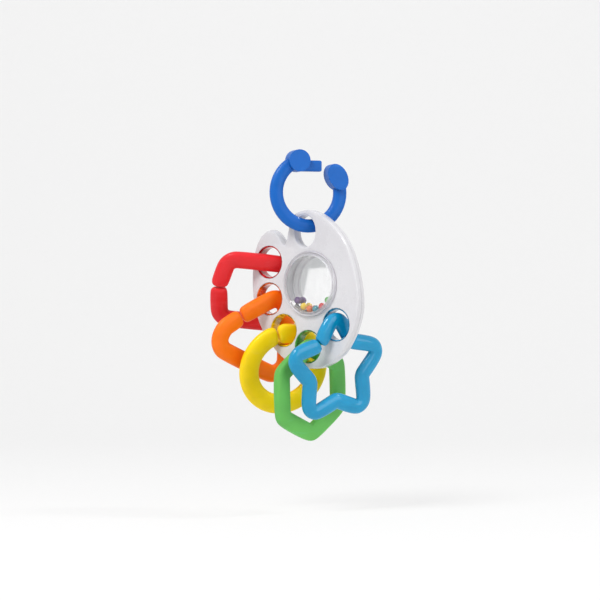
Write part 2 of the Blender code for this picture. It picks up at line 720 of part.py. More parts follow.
def make_hanger_ring():
    bar_radius = RING_INNER_RADIUS + RING_BAR_WIDTH / 2
    angles = [RING_START + (RING_END - RING_START) * k / TURN_STEPS for k in range(TURN_STEPS + 1)]
    centre = Vector((0, -RING_INNER_RADIUS))
    path = [
        (centre + Vector((math.cos(math.radians(a)), math.sin(math.radians(a)))) * bar_radius, 1)
        for a in angles
    ]
    section = oval_section(RING_BAR_WIDTH / 2, RING_BAR_DEPTH / 2, RING_ROUNDNESS)
    ring = swept("hanger_ring", section, path)
    near = disc("near_disc", path[0][0], NEAR_DISC_RADIUS, NEAR_DISC_RADIUS, RING_START)
    far = disc("far_disc", path[-1][0], FAR_DISC_WIDTH / 2, FAR_DISC_HEIGHT / 2, RING_END)
    tongue_middle = path[0][0] + Vector((TONGUE_LENGTH / 2, TONGUE_RISE))
    tongue = box("tongue", (*tongue_middle, 0), (TONGUE_LENGTH, TONGUE_WIDTH, TONGUE_DEPTH))
    for piece, width in ((near, DISC_BEVEL), (far, DISC_BEVEL), (tongue, TONGUE_BEVEL)):
        bevel(piece, width)
    for piece in (ring, near, far, tongue):
        stand(piece, Vector((0, 0, 0)), RING_YAW, 0)
    for piece in (near, far, tongue):
        join(ring, as_cutter(piece))
    finish_part(ring, "royal_blue")


clear_scene()
PARTS = new_collection("teething_rattle")
CUTTERS = new_collection("cutters", hidden=True)
make_shells()
make_screws()
make_window()
make_liners()
make_beads()
make_links()
make_hanger_ring()
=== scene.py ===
"""Looks for a teething rattle: a white palette with a mirrored bead window, five colour links and a ring."""

import json
import math

import bmesh
import bpy
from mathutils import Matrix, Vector

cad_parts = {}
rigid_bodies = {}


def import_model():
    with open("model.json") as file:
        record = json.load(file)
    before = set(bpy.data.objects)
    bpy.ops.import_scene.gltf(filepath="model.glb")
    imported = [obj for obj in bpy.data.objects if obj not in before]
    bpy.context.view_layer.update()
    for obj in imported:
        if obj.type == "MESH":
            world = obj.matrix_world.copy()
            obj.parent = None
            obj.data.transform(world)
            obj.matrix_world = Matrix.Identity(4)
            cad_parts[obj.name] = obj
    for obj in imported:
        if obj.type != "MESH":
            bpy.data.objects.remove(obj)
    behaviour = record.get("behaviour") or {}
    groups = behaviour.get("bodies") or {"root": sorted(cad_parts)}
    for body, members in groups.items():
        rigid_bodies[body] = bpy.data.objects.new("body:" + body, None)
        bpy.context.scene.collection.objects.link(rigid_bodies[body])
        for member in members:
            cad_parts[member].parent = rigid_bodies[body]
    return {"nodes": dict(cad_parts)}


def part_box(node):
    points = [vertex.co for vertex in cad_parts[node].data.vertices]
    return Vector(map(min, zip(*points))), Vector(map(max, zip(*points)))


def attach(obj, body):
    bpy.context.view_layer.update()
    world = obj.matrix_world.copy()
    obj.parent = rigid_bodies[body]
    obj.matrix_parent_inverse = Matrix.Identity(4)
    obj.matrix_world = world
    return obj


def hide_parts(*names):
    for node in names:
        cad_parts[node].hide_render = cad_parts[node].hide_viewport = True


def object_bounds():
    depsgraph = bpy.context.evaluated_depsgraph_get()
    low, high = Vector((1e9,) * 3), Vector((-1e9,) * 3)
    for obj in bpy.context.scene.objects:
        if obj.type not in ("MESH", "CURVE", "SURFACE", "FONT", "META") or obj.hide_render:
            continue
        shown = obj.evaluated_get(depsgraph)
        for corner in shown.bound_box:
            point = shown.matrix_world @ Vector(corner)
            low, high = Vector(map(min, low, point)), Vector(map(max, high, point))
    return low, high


bl_info = {
    "name": "Teething rattle",
    "version": (1, 0, 0),
    "blender": (4, 5, 0),
    "location": "3D View > Sidebar > Rattle",
    "description": "Finishes the pieces of a teething rattle and lights them",
    "category": "Object",
}

for leftover in list(bpy.data.objects):
    bpy.data.objects.remove(leftover, do_unlink=True)
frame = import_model()
BOX_AT_LOAD = [list(corner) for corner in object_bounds()]
LOWEST = Vector(BOX_AT_LOAD[0])

# How the copied shapes are cleaned and smoothed. A swell is the share of what rounding takes that is let out again.
WELD = 0.000002
FLAT_JOIN = math.radians(12)
SHAPE_JOIN = math.radians(70)
CREASE = math.radians(38)
ROUNDING_LEVELS = 2
LINK_SWELL = 0.2
BEAD_SWELL = 1.0

# Each link: its piece's name, its node, its body, and the node of its hole's liner.
LINKS = {
    "red": ("red_square", "red_square_link", "red_square", "red_hole_liner"),
    "orange": ("orange_triangle", "orange_triangle_link", "orange_triangle", "orange_hole_liner"),
    "yellow": ("yellow_ring", "yellow_ring_link", "yellow_ring", "yellow_hole_liner"),
    "green": ("green_hexagon", "green_hexagon_link", "green_hexagon", "green_hole_liner"),
    "sky_blue": ("blue_star", "blue_star_link", "blue_star", "blue_hole_liner"),
}
BEADS = ("purple", "yellow", "orange", "teal", "red", "green")
SCREWS = (1, 2, 3, 4)

# The sockets of Blender's colour Mix node, which shares their names with those for numbers.
MIX_FACTOR = 0
MIX_FIRST = 6
MIX_SECOND = 7
MIX_RESULT = 2

WHITE = (1.0, 1.0, 1.0)
MIDDLE_OF_NOISE = 0.5

# Moulded plastic: colour clouds, flow streaks, a painted rim light that makes convex edges paler, a fine skin and
# hairline scuffs.
CLOUD = {"scale": 45.0, "detail": 3.0, "distortion": 0.4}
CLOUD_FADE = (0.30, 0.60)
CLOUD_ROUGHNESS = 0.10
STREAK = {"scale": 60.0, "detail": 4.0, "distortion": 1.2}
STREAK_STRETCH = (0.5, 0.5, 2.2)
STREAK_FADE = (0.55, 0.85)
STREAK_SHARE = 0.45
STREAK_HEIGHT = 0.4
# Painted rim light: how pointy an edge must be to be painted paler, and how far toward the pale colour it goes.
EDGE_LIGHT_FADE = (0.51, 0.62)
EDGE_LIGHT_SHARE = 0.55
SKIN_DETAIL = 2.0
SKIN_ROUGHNESS = 0.06
SKIN_HEIGHT = 0.6
SCUFF = {"scale": 900.0, "detail": 2.0}
SCUFF_STRETCH = (1.0, 0.12, 0.35)
SCUFF_FADE = (0.62, 0.72)
SCUFF_ROUGHNESS = 0.10
SCUFF_HEIGHT = 0.1
PLASTIC_IOR = 1.48
PLASTIC_COAT_ROUGHNESS = 0.03
PLASTIC_GLOW_RADIUS = (0.004, 0.002, 0.001)
PLASTIC_RELIEF = 0.00012

# The finishes in moulded plastic. The soft value is how far light goes into it, and the relief how rough it feels.
# The pale colour is what the streaks and the painted rim light on the edges move toward.
SHELL_FINISH = {
    "pale": WHITE,
    "pale_share": 0.25,
    "deep_share": 0.97,
    "roughness": 0.28,
    "gloss": 0.6,
    "shine": 0.4,
    "grain": 1100.0,
    "soft": 0.0,
    "relief": 0.5,
}
BEAD_FINISH = {**SHELL_FINISH, "pale_share": 0.2, "deep_share": 0.85, "roughness": 0.2, "grain": 3000.0}
RING_FINISH = {
    **SHELL_FINISH,
    "pale": (0.05, 0.30, 0.95),
    "pale_share": 0.5,
    "deep_share": 0.90,
    "roughness": 0.46,
    "gloss": 0.08,
    "shine": 0.2,
    "grain": 1500.0,
}
SATIN_LINK = {
    "pale": (0.20, 0.75, 0.85),
    "pale_share": 0.6,
    "deep_share": 0.90,
    "roughness": 0.42,
    "gloss": 0.10,
    "shine": 0.20,
    "grain": 1400.0,
    "soft": 0.12,
    "relief": 0.5,
}
LINK_FINISHES = {
    "red": {**SATIN_LINK, "pale": (1.0, 0.20, 0.24), "roughness": 0.40, "gloss": 0.16},
    "orange": {**SATIN_LINK, "pale": (1.0, 0.36, 0.08)},
    "yellow": {**SATIN_LINK, "pale": (1.0, 0.80, 0.20)},
    "green": {**SATIN_LINK, "pale_share": 0.16, "roughness": 0.48, "gloss": 0.06},
    "sky_blue": {**SATIN_LINK, "pale_share": 0.25, "roughness": 0.34, "gloss": 0.8, "shine": 0.06, "relief": 0.08},
}

# The polished sleeves of the holes: dark flow marks and rubbed smears.
FLOW_MARK = {"scale": 110.0, "detail": 3.0, "distortion": 2.0}
FLOW_MARK_STRETCH = (1.0, 0.45, 1.0)
FLOW_MARK_FADE = (0.38, 0.62)
FLOW_MARK_HEIGHT = 0.7
SMEAR = {"scale": 230.0, "detail": 4.0, "distortion": 0.8}
SMEAR_STRETCH = (1.0, 0.3, 1.0)
SMEAR_FADE = (0.58, 0.72)
SMEAR_SHARE = 0.5
SMEAR_DULL_FADE = (0.45, 0.7)
SMEAR_DULLING = 0.25
SMEAR_HEIGHT = 0.3
SLEEVE_PALE_SHARE = 0.25
SLEEVE_DEEP_SHARE = 0.45
SLEEVE_ROUGHNESS = 0.16
SLEEVE_SHINE = 0.5
SLEEVE_GLOSS = 0.6
SLEEVE_COAT_ROUGHNESS = 0.06
SLEEVE_RELIEF = (0.0005, 0.6)

# The clear window. Its places are shares of its radius, and each line has a place, half a width and a strength. Its
# grey rim lines and its grey, streaked, less clear side wall are painted shade and reflection.
WINDOW_FLOW = {"scale": 180.0, "detail": 3.0, "distortion": 0.6}
WINDOW_FLOW_FADE = (0.5, 0.8)
WINDOW_WOBBLE = {"scale": 60.0, "detail": 1.0}
WINDOW_WOBBLE_REACH = 0.012
WINDOW_LINES = ((0.985, 0.018, 1.0), (0.900, 0.014, 0.8), (0.850, 0.010, 0.5))
WINDOW_WALL_FADE = (0.845, 0.875)
WINDOW_BAND = {"scale": 620.0, "detail": 2.0}
WINDOW_BAND_STRETCH = (0.05, 1.0, 0.05)
WINDOW_BAND_FADE = (0.40, 0.60)
WINDOW_MARK = {"scale": 700.0, "detail": 2.0}
WINDOW_MARK_STRETCH = (1.0, 0.2, 0.3)
WINDOW_MARK_FADE = (0.66, 0.74)
WINDOW_MARK_ROUGHNESS = 0.12
WINDOW_ROUGHNESS = 0.04
WINDOW_IOR = 1.46
WINDOW_WALL_SHADE_COLOUR = (0.74, 0.72, 0.76, 1.0)
WINDOW_LINE_SHADE_COLOUR = (0.58, 0.55, 0.61, 1.0)
WINDOW_CLEAR_COVER = 0.02
WINDOW_WALL_COVER = 0.40
WINDOW_LINE_COVER = 0.32
WINDOW_FLOW_COVER = 0.03
WINDOW_RELIEF = (0.00005, 0.3)
WINDOW_SHINE_ROUGHNESS = 0.03
WINDOW_SHINE_SHARE = 0.5

# The silvered mirror: slow waves and fine wipe marks.
MIRROR_WAVE = {"scale": 35.0, "detail": 1.0}
MIRROR_WIPE = {"scale": 400.0, "detail": 3.0}
MIRROR_WIPE_STRETCH = (1.0, 1.0, 0.15)
MIRROR_WIPE_FADE = (0.4, 0.7)
MIRROR_DULL_FADE = (0.55, 0.8)
MIRROR_DULLING = 0.05
MIRROR_DEEP_SHARE = 0.97
MIRROR_ROUGHNESS = 0.03
MIRROR_RELIEF = (0.0002, 0.25)

# The plated screws: a mottled plating with turning lines.
PLATING = {"scale": 900.0, "detail": 3.0}
PLATING_FADE = (0.35, 0.7)
PLATING_DEEP_SHARE = 0.72
PLATING_ROUGHNESS = 0.24
PLATING_DULLING = 0.2
TURNED_LINE = {"scale": 2600.0, "detail": 2.0}
TURNED_LINE_STRETCH = (1.0, 0.1, 1.0)
TURNED_LINE_ROUGHNESS = 0.08
TURNED_LINE_RELIEF = (0.00004, 0.5)

# The paper of the floor, the backdrop and the grey card.
FIBRE = {"scale": 160.0, "detail": 4.0}
FIBRE_FADE = (0.3, 0.7)
FIBRE_RELIEF = (0.0003, 0.2)
PAPER_ROUGHNESS = 0.9
PAPER_DEEP_SHARE = 0.985
CARD_DEEP_SHARE = 0.96

# The camera's place: turned from the palette's face, and aimed this far across and down from the origin.
CAMERA_TURN = math.radians(38)
AIM_ACROSS = -0.0057
AIM_DOWN = 0.0938
FRAME_WIDTH = 0.420
SENSOR_WIDTH = 36.0
CAMERA_FAR = 20
ACROSS = Vector((math.cos(CAMERA_TURN), math.sin(CAMERA_TURN), 0))
AWAY = Vector((-math.sin(CAMERA_TURN), math.cos(CAMERA_TURN), 0))
UP = Vector((0, 0, 1))

# The grey card that the mirror shows: from the mirror to the card's corner, and its size and slant.
CARD_WAY = Vector((-math.sin(CAMERA_TURN), -math.cos(CAMERA_TURN), 0))
CARD_DISTANCE = 0.45
CARD_LEFT = 0.003
CARD_RISE = 0.0172
CARD_REACH = 0.085
CARD_SLANT = 0.18

# Each lamp: how far across, away and up it is from where the camera aims, its size, and the setting for its power.
LAMPS = {
    "key_light": ((-0.55, -0.75, 1.0), 0.5, "key_strength"),
    "fill_light": ((1.0, -0.8, 0.3), 0.9, "fill_strength"),
    "small_light": ((0.85, 0.0, 1.05), 0.15, "spark_strength"),
}

# The floor's sheet, in shares of its reach: how far back it stays flat, and the radius of its bend.
FLAT_SHARE = 1 / 3
BEND_SHARE = 1 / 4
BEND_STEPS = 16


class Wire:
    """A value socket that can stand in a Python sum: each operator adds its Math node."""

    def __init__(self, look, socket):
        self.look = look
        self.socket = socket

    def sum(self, operation, first, second=None):
        sockets = {0: first}
        if second is not None:
            sockets[1] = second
        return self.look.node("ShaderNodeMath", {"operation": operation}, sockets)

    def __add__(self, other):
        return self.sum("ADD", self, other)

    def __radd__(self, other):
        return self.sum("ADD", other, self)

    def __sub__(self, other):
        return self.sum("SUBTRACT", self, other)

    def __rsub__(self, other):
        return self.sum("SUBTRACT", other, self)

    def __mul__(self, other):
        return self.sum("MULTIPLY", self, other)

    def __rmul__(self, other):
        return self.sum("MULTIPLY", other, self)

    def clamped(self):
        """The value kept between 0 and 1."""
        wire = self.sum("ADD", self, 0.0)
        wire.socket.node.use_clamp = True
        return wire

    def ridge(self, middle, half_width):
        """1 where the value is the middle, falling to 0 at half a width either side."""
        return 1.0 - self.sum("ABSOLUTE", self - middle).between(0.0, half_width)

    def between(self, low, high):
        """0 below low and 1 above high, with a smooth rise between."""
        settings = {"interpolation_type": "SMOOTHSTEP"}
        return self.look.node("ShaderNodeMapRange", settings, {0: self, 1: low, 2: high, 3: 0.0, 4: 1.0})


class Look:
    """A material or a world in the making, whose one method adds every node."""

    def __init__(self, name, world=False):
        self.data = (bpy.data.worlds if world else bpy.data.materials).new(name)
        self.data.use_nodes = True
        self.tree = self.data.node_tree
        self.tree.nodes.clear()
        self.last = "ShaderNodeOutputWorld" if world else "ShaderNodeOutputMaterial"
        self.places = self.node("ShaderNodeTexCoord", output="Object")

    def node(self, kind, settings=None, sockets=None, output=0):
        """Adds a node: its settings first, then the values or wires of its sockets. Returns one output."""
        node = self.tree.nodes.new(kind)
        for key, value in (settings or {}).items():
            setattr(node, key, value)
        for key, value in (sockets or {}).items():
            if isinstance(value, Wire):
                self.tree.links.new(value.socket, node.inputs[key])
            else:
                node.inputs[key].default_value = value
        return Wire(self, node.outputs[output]) if len(node.outputs) else node

    def noise(self, scale, detail, distortion=0.0, places=None):
        sockets = {"Vector": places or self.places, "Scale": scale, "Detail": detail, "Distortion": distortion}
        return self.node("ShaderNodeTexNoise", {}, sockets)

    def stretched(self, x, y, z):
        """The object's places stretched along its axes, for streaks and scratches."""
        return self.node("ShaderNodeVectorMath", {"operation": "MULTIPLY"}, {0: self.places, 1: (x, y, z)})

    def mix(self, factor, first, second):
        """A colour between two, by the factor."""
        sockets = {MIX_FACTOR: factor, MIX_FIRST: first, MIX_SECOND: second}
        return self.node("ShaderNodeMix", {"data_type": "RGBA"}, sockets, output=MIX_RESULT)

    def bump(self, height, distance, strength):
        return self.node("ShaderNodeBump", {}, {"Height": height, "Distance": distance, "Strength": strength})

    def away_from(self, centre):
        """The distance from a line through the centre along Y."""
        sockets = {0: self.stretched(1.0, 0.0, 1.0), 1: (centre[0], 0.0, centre[2])}
        return self.node("ShaderNodeVectorMath", {"operation": "DISTANCE"}, sockets, output="Value")

    def seen(self):
        """1 for the rays that show this to the camera, straight or by way of a mirror or of clear plastic."""
        ways = [
            self.node("ShaderNodeLightPath", output=way)
            for way in ("Is Camera Ray", "Is Glossy Ray", "Is Transmission Ray")
        ]
        return (ways[0] + ways[1] + ways[2]).clamped()

    def close(self, shader):
        self.node(self.last, {}, {"Surface": shader})
        return self.data


def opaque(colour):
    return (colour[0], colour[1], colour[2], 1.0)


def shaded(colour, share):
    """The colour at a share of its brightness."""
    return (colour[0] * share, colour[1] * share, colour[2] * share, 1.0)


def toward(colour, other, share):
    """The colour moved toward another by a share."""
    mixed = [a + (b - a) * share for a, b in zip(colour, other)]
    return (*mixed, 1.0)


def moulded_plastic(name, colour, finish):
    """Moulded plastic: cloudy colour, convex edges painted paler as a painted rim light, a fine skin, and hairline
    scuffs in its gloss.
    """
    look = Look(name)
    pale = toward(colour, finish["pale"], finish["pale_share"])
    cloud = look.noise(**CLOUD)
    streak = look.noise(**STREAK, places=look.stretched(*STREAK_STRETCH))
    base = look.mix(cloud.between(*CLOUD_FADE), shaded(colour, finish["deep_share"]), opaque(colour))
    base = look.mix(streak.between(*STREAK_FADE) * STREAK_SHARE, base, pale)
    # Painted rim light: convex edges, found by their pointiness, are painted toward the pale colour.
    painted_edge_light = look.node("ShaderNodeNewGeometry", output="Pointiness").between(*EDGE_LIGHT_FADE)
    base = look.mix(painted_edge_light * EDGE_LIGHT_SHARE, base, pale)
    skin = look.noise(finish["grain"], SKIN_DETAIL)
    scuff = look.noise(**SCUFF, places=look.stretched(*SCUFF_STRETCH)).between(*SCUFF_FADE)
    rough = finish["roughness"] + (cloud - MIDDLE_OF_NOISE) * CLOUD_ROUGHNESS + scuff * SCUFF_ROUGHNESS
    rough = rough + (skin - MIDDLE_OF_NOISE) * SKIN_ROUGHNESS
    height = skin * SKIN_HEIGHT + streak * STREAK_HEIGHT + scuff * SCUFF_HEIGHT
    sockets = {
        "Base Color": base,
        "Roughness": rough.clamped(),
        "IOR": PLASTIC_IOR,
        "Specular IOR Level": finish["shine"],
        "Coat Weight": finish["gloss"],
        "Coat Roughness": PLASTIC_COAT_ROUGHNESS,
        "Subsurface Weight": finish["soft"],
        "Subsurface Radius": PLASTIC_GLOW_RADIUS,
        "Subsurface Scale": 1.0,
        "Normal": look.bump(height, PLASTIC_RELIEF, finish["relief"]),
    }
    return look.close(look.node("ShaderNodeBsdfPrincipled", {}, sockets))


def sleeve_plastic(name, colour):
    """The polished wall of a hole: darker flow marks run through it, with pale smears where it is rubbed."""
    look = Look(name)
    flow = look.noise(**FLOW_MARK, places=look.stretched(*FLOW_MARK_STRETCH))
    smear = look.noise(**SMEAR, places=look.stretched(*SMEAR_STRETCH))
    base = look.mix(flow.between(*FLOW_MARK_FADE), shaded(colour, SLEEVE_DEEP_SHARE), opaque(colour))
    pale = toward(colour, WHITE, SLEEVE_PALE_SHARE)
    sockets = {
        "Base Color": look.mix(smear.between(*SMEAR_FADE) * SMEAR_SHARE, base, pale),
        "Roughness": (SLEEVE_ROUGHNESS + smear.between(*SMEAR_DULL_FADE) * SMEAR_DULLING).clamped(),
        "Specular IOR Level": SLEEVE_SHINE,
        "Coat Weight": SLEEVE_GLOSS,
        "Coat Roughness": SLEEVE_COAT_ROUGHNESS,
        "Normal": look.bump(flow * FLOW_MARK_HEIGHT + smear * SMEAR_HEIGHT, *SLEEVE_RELIEF),
    }
    return look.close(look.node("ShaderNodeBsdfPrincipled", {}, sockets))


def clear_plastic(name, tint, box):
    """Clear moulded plastic: fine grey circles on its rim and a grey, streaked, less clear side wall are painted
    shade and reflection, with faint flow lines and handling marks.
    """
    look = Look(name)
    low, high = Vector(box[0]), Vector(box[1])
    radius = (high.x - low.x) / 2
    share = look.away_from((low + high) / 2) * (1 / radius)
    flow = look.noise(**WINDOW_FLOW)
    wobble = share + (look.noise(**WINDOW_WOBBLE) - MIDDLE_OF_NOISE) * WINDOW_WOBBLE_REACH
    # Painted shade and reflection: grey rings where the rim's ridges would bend and reflect light.
    lines = sum(wobble.ridge(place, half) * strength for place, half, strength in WINDOW_LINES).clamped()
    wall = share.between(*WINDOW_WALL_FADE)
    band = look.noise(**WINDOW_BAND, places=look.stretched(*WINDOW_BAND_STRETCH)).between(*WINDOW_BAND_FADE)
    mark = look.noise(**WINDOW_MARK, places=look.stretched(*WINDOW_MARK_STRETCH)).between(*WINDOW_MARK_FADE)
    # Painted shade and reflection: the side wall is streaked grey and made less clear.
    base = look.mix(wall * band, opaque(tint), WINDOW_WALL_SHADE_COLOUR)
    cover = WINDOW_CLEAR_COVER + wall * WINDOW_WALL_COVER + lines * WINDOW_LINE_COVER
    cover = cover + flow.between(*WINDOW_FLOW_FADE) * WINDOW_FLOW_COVER
    sockets = {
        "Base Color": look.mix(lines, base, WINDOW_LINE_SHADE_COLOUR),
        "Roughness": (WINDOW_ROUGHNESS + mark * WINDOW_MARK_ROUGHNESS).clamped(),
        "IOR": WINDOW_IOR,
        "Alpha": cover.clamped(),
        "Normal": look.bump(flow, *WINDOW_RELIEF),
    }
    body = look.node("ShaderNodeBsdfPrincipled", {}, sockets)
    gloss = {"Color": opaque(WHITE), "Roughness": WINDOW_SHINE_ROUGHNESS}
    shine = look.node("ShaderNodeBsdfAnisotropic", {}, gloss)
    fresnel = look.node("ShaderNodeFresnel", {}, {"IOR": WINDOW_IOR})
    return look.close(look.node("ShaderNodeMixShader", {}, {0: fresnel * WINDOW_SHINE_SHARE, 1: body, 2: shine}))


def mirror_film(name, colour):
    """A silvered plastic mirror, a little wavy, with fine wipe marks."""
    look = Look(name)
    wave = look.noise(**MIRROR_WAVE)
    wipe = look.noise(**MIRROR_WIPE, places=look.stretched(*MIRROR_WIPE_STRETCH))
    sockets = {
        "Base Color": look.mix(wipe.between(*MIRROR_WIPE_FADE), shaded(colour, MIRROR_DEEP_SHARE), opaque(colour)),
        "Metallic": 1.0,
        "Roughness": (MIRROR_ROUGHNESS + wipe.between(*MIRROR_DULL_FADE) * MIRROR_DULLING).clamped(),
        "Normal": look.bump(wave, *MIRROR_RELIEF),
    }
    return look.close(look.node("ShaderNodeBsdfPrincipled", {}, sockets))


def plated_steel(name, colour):
    """Zinc-plated steel with turning lines and mottled dulling."""
    look = Look(name)
    dull = look.noise(**PLATING)
    line = look.noise(**TURNED_LINE, places=look.stretched(*TURNED_LINE_STRETCH))
    sockets = {
        "Base Color": look.mix(dull.between(*PLATING_FADE), shaded(colour, PLATING_DEEP_SHARE), opaque(colour)),
        "Metallic": 1.0,
        "Roughness": (PLATING_ROUGHNESS + dull * PLATING_DULLING + line * TURNED_LINE_ROUGHNESS).clamped(),
        "Normal": look.bump(line, *TURNED_LINE_RELIEF),
    }
    return look.close(look.node("ShaderNodeBsdfPrincipled", {}, sockets))


def mesh_object(name, mesh):
    """A new object in the scene that shows the mesh."""
    piece = bpy.data.objects.new(name, mesh)
    bpy.context.scene.collection.objects.link(piece)
    return piece


def built_mesh(name, shape):
    """The shape as a mesh, with the shape's own memory freed."""
    mesh = bpy.data.meshes.new(name)
    shape.to_mesh(mesh)
    shape.free()
    return mesh


def corners_of(mesh):
    """The least and greatest coordinates of a mesh."""
    places = [vertex.co for vertex in mesh.vertices]
    return [(min(place[axis] for place in places), max(place[axis] for place in places)) for axis in range(3)]


def drawn_in(piece, source):
    """How far the rounding draws the piece in from the sides of its node's shape."""
    bpy.context.view_layer.update()
    rounded = piece.evaluated_get(bpy.context.evaluated_depsgraph_get())
    pairs = list(zip(corners_of(source), corners_of(rounded.to_mesh())))
    rounded.to_mesh_clear()
    return max(0.0, min(min(small[0] - big[0], big[1] - small[1]) for big, small in pairs))


def moulded(node, name, body, material, levels=0, swell=0.0):
    """The node's own shape as one welded mesh, smoothly shaded, that rides the body in the node's place.

    Rounding it draws it in by a little, and the swell is the share of that by which it is let out again.
    """
    source = frame["nodes"][node].data
    shape = bmesh.new()
    corners = {}
    for face in source.polygons:
        verts = []
        for index in face.vertices:
            place = source.vertices[index].co
            key = tuple(round(value / WELD) for value in place)
            if key not in corners:
                corners[key] = shape.verts.new(place)
            verts.append(corners[key])
        if len(set(verts)) == len(verts):
            shape.faces.new(verts)
    bmesh.ops.remove_doubles(shape, verts=shape.verts, dist=WELD * 2)
    bmesh.ops.join_triangles(
        shape, faces=shape.faces, angle_face_threshold=FLAT_JOIN, angle_shape_threshold=SHAPE_JOIN
    )
    bmesh.ops.recalc_face_normals(shape, faces=shape.faces)
    mesh = built_mesh(name, shape)
    piece = mesh_object(name, mesh)
    mesh.shade_smooth()
    mesh.set_sharp_from_angle(angle=CREASE)
    if levels:
        rounder = piece.modifiers.new("rounder", "SUBSURF")
        rounder.levels = levels
        rounder.render_levels = levels
        swollen = piece.modifiers.new("swollen_back", "DISPLACE")
        swollen.mid_level = 0.0
        swollen.strength = 0.0
        swollen.strength = drawn_in(piece, source) * swell
    evened = piece.modifiers.new("even_shading", "WEIGHTED_NORMAL")
    evened.keep_sharp = True
    mesh.materials.append(material)
    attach(piece, body)
    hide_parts(node)


def colour_property(name, description, default):
    return bpy.props.FloatVectorProperty(
        name=name, description=description, default=default, min=0.0, max=1.0, size=3, subtype="COLOR"
    )


class RattleColours(bpy.types.PropertyGroup):
    """The colours that a user may change."""

    palette: colour_property("Palette", "Colour of the palette's two shells", (0.66, 0.65, 0.675))
    ring: colour_property("Ring", "Colour of the hanging ring", (0.003, 0.110, 0.46))
    red: colour_property("Square link", "Colour of the square link", (0.78, 0.021, 0.028))
    orange: colour_property("Triangle link", "Colour of the triangle link", (1.0, 0.19, 0.005))
    yellow: colour_property("Round link", "Colour of the round link", (1.0, 0.70, 0.003))
    green: colour_property("Hexagon link", "Colour of the hexagon link", (0.145, 0.52, 0.108))
    sky_blue: colour_property("Star link", "Colour of the star link", (0.002, 0.30, 0.56))
    purple: colour_property("Purple bead", "Colour of the purple bead", (0.13, 0.05, 0.20))
    teal: colour_property("Teal bead", "Colour of the teal bead", (0.04, 0.34, 0.42))
    clear: colour_property("Window", "Tint of the clear window", (0.93, 0.93, 0.97))
    mirror: colour_property("Mirror", "Colour of the mirror", (0.985, 0.99, 0.99))
    steel: colour_property("Screws", "Colour of the screws", (0.58, 0.58, 0.60))
    stage: colour_property("Stage", "Colour of the floor and backdrop", (0.88, 0.88, 0.88))
    card: colour_property("Card", "Colour of the grey card that the mirror shows", (0.60, 0.61, 0.62))


class RattleSizes(bpy.types.PropertyGroup):
    """The sizes and light levels that a user may change."""

    camera_distance: bpy.props.FloatProperty(
        name="Camera distance", description="From the camera to the rattle", default=1.6, min=0.5, unit="LENGTH"
    )
    floor_drop: bpy.props.FloatProperty(
        name="Floor drop", description="From the rattle's lowest point to the floor", default=0.05, unit="LENGTH"
    )
    stage_reach: bpy.props.FloatProperty(
        name="Stage reach", description="Half the width of the floor", default=2.4, unit="LENGTH"
    )
    key_strength: bpy.props.FloatProperty(
        name="Key light", description="Power of the soft light at the upper left", default=12.0, unit="POWER"
    )
    fill_strength: bpy.props.FloatProperty(
        name="Fill light", description="Power of the soft light at the right", default=4.6, unit="POWER"
    )
    spark_strength: bpy.props.FloatProperty(
        name="Small light", description="Power of the small light that draws highlights", default=3.6, unit="POWER"
    )
    room_strength: bpy.props.FloatProperty(
        name="Room light", description="Strength of the even light from all round", default=0.42, min=0.0
    )
    backdrop_glow: bpy.props.FloatProperty(
        name="Backdrop glow",
        description="How far the backdrop shows as plain white",
        default=0.66,
        min=0.0,
        max=1.0,
        subtype="FACTOR",
    )


def colour_of(kind):
    return tuple(getattr(bpy.context.scene.rattle_colours, kind))


class RATTLE_OT_palette(bpy.types.Operator):
    """Finish the palette's two shells"""

    bl_idname = "rattle.palette"
    bl_label = "Palette"

    def execute(self, context):
        plastic = moulded_plastic("glossy_white_plastic", colour_of("palette"), SHELL_FINISH)
        moulded("palette_front_shell", "palette_front", "palette", plastic)
        moulded("palette_rear_shell", "palette_back", "palette", plastic)
        return {"FINISHED"}


class RATTLE_OT_screws(bpy.types.Operator):
    """Finish the four screws in the palette's back"""

    bl_idname = "rattle.screws"
    bl_label = "Screws"

    def execute(self, context):
        steel = plated_steel("plated_steel", colour_of("steel"))
        for index in SCREWS:
            moulded(f"shell_screw_{index}", f"back_screw_{index}", "palette", steel)
        return {"FINISHED"}


class RATTLE_OT_window(bpy.types.Operator):
    """Finish the clear window and the mirror behind it"""

    bl_idname = "rattle.window"
    bl_label = "Window and mirror"

    def execute(self, context):
        clear = clear_plastic("clear_plastic", colour_of("clear"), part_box("window_dome"))
        moulded("window_dome", "clear_window", "palette", clear)
        moulded("mirror_disc", "silvered_mirror", "palette", mirror_film("silvered_film", colour_of("mirror")))
        return {"FINISHED"}


class RATTLE_OT_beads(bpy.types.Operator):
    """Finish the six beads behind the window"""

    bl_idname = "rattle.beads"
    bl_label = "Beads"

    def execute(self, context):
        for kind in BEADS:
            plastic = moulded_plastic(f"bead_plastic_{kind}", colour_of(kind), BEAD_FINISH)
            moulded(f"bead_{kind}", f"{kind}_bead", f"bead_{kind}_body", plastic, ROUNDING_LEVELS, BEAD_SWELL)
        return {"FINISHED"}


class RATTLE_OT_links(bpy.types.Operator):
    """Finish the five colour links"""

    bl_idname = "rattle.links"
    bl_label = "Links"

    def execute(self, context):
        for kind, (piece, node, body, _) in LINKS.items():
            plastic = moulded_plastic(f"{piece}_plastic", colour_of(kind), LINK_FINISHES[kind])
            moulded(node, piece, body, plastic, ROUNDING_LEVELS, LINK_SWELL)
        return {"FINISHED"}


class RATTLE_OT_liners(bpy.types.Operator):
    """Finish the coloured sleeves in the palette's holes"""

    bl_idname = "rattle.liners"
    bl_label = "Hole liners"

    def execute(self, context):
        for kind, (piece, _, _, liner) in LINKS.items():
            plastic = sleeve_plastic(f"{piece}_sleeve_plastic", colour_of(kind))
            moulded(liner, f"{piece}_sleeve", "palette", plastic)
        return {"FINISHED"}


